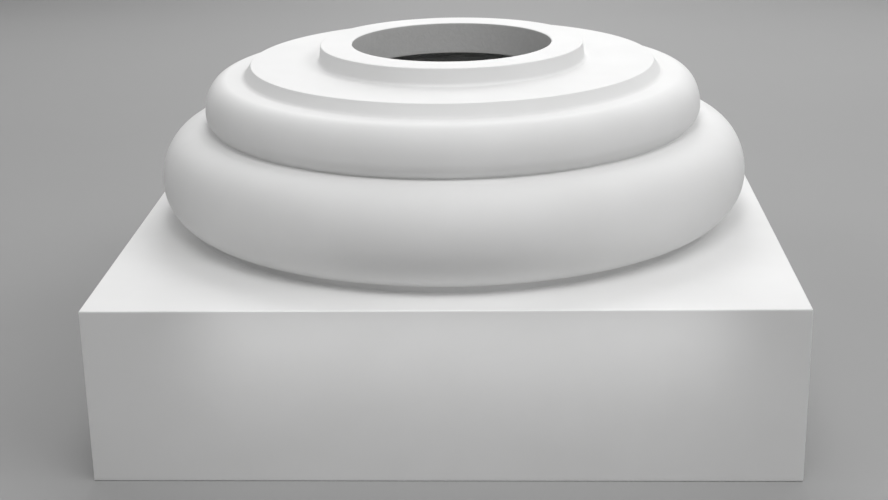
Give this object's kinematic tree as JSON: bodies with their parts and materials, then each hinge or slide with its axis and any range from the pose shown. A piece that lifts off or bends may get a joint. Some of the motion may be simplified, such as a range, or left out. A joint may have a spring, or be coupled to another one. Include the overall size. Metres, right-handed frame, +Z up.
{
  "type": "column base",
  "caption": "Square-plinth column base with two rounded rings, a raised shaft seat and a locating collar with a through hole; cast in one piece as a hollow shell.",
  "frame": {"origin": "centre of the plinth's footprint, at the level it stands on", "axes": "+Z up along the column's axis, -Y out of the plinth's front face, +X to the right seen from the front"},
  "size_m": [0.5, 0.5, 0.2646],
  "materials": {
    "white_casting": "smooth matt white cast gypsum, unpainted"
  },
  "bodies": {
    "root": {"column_base": "white_casting"}
  },
  "joints": []
}
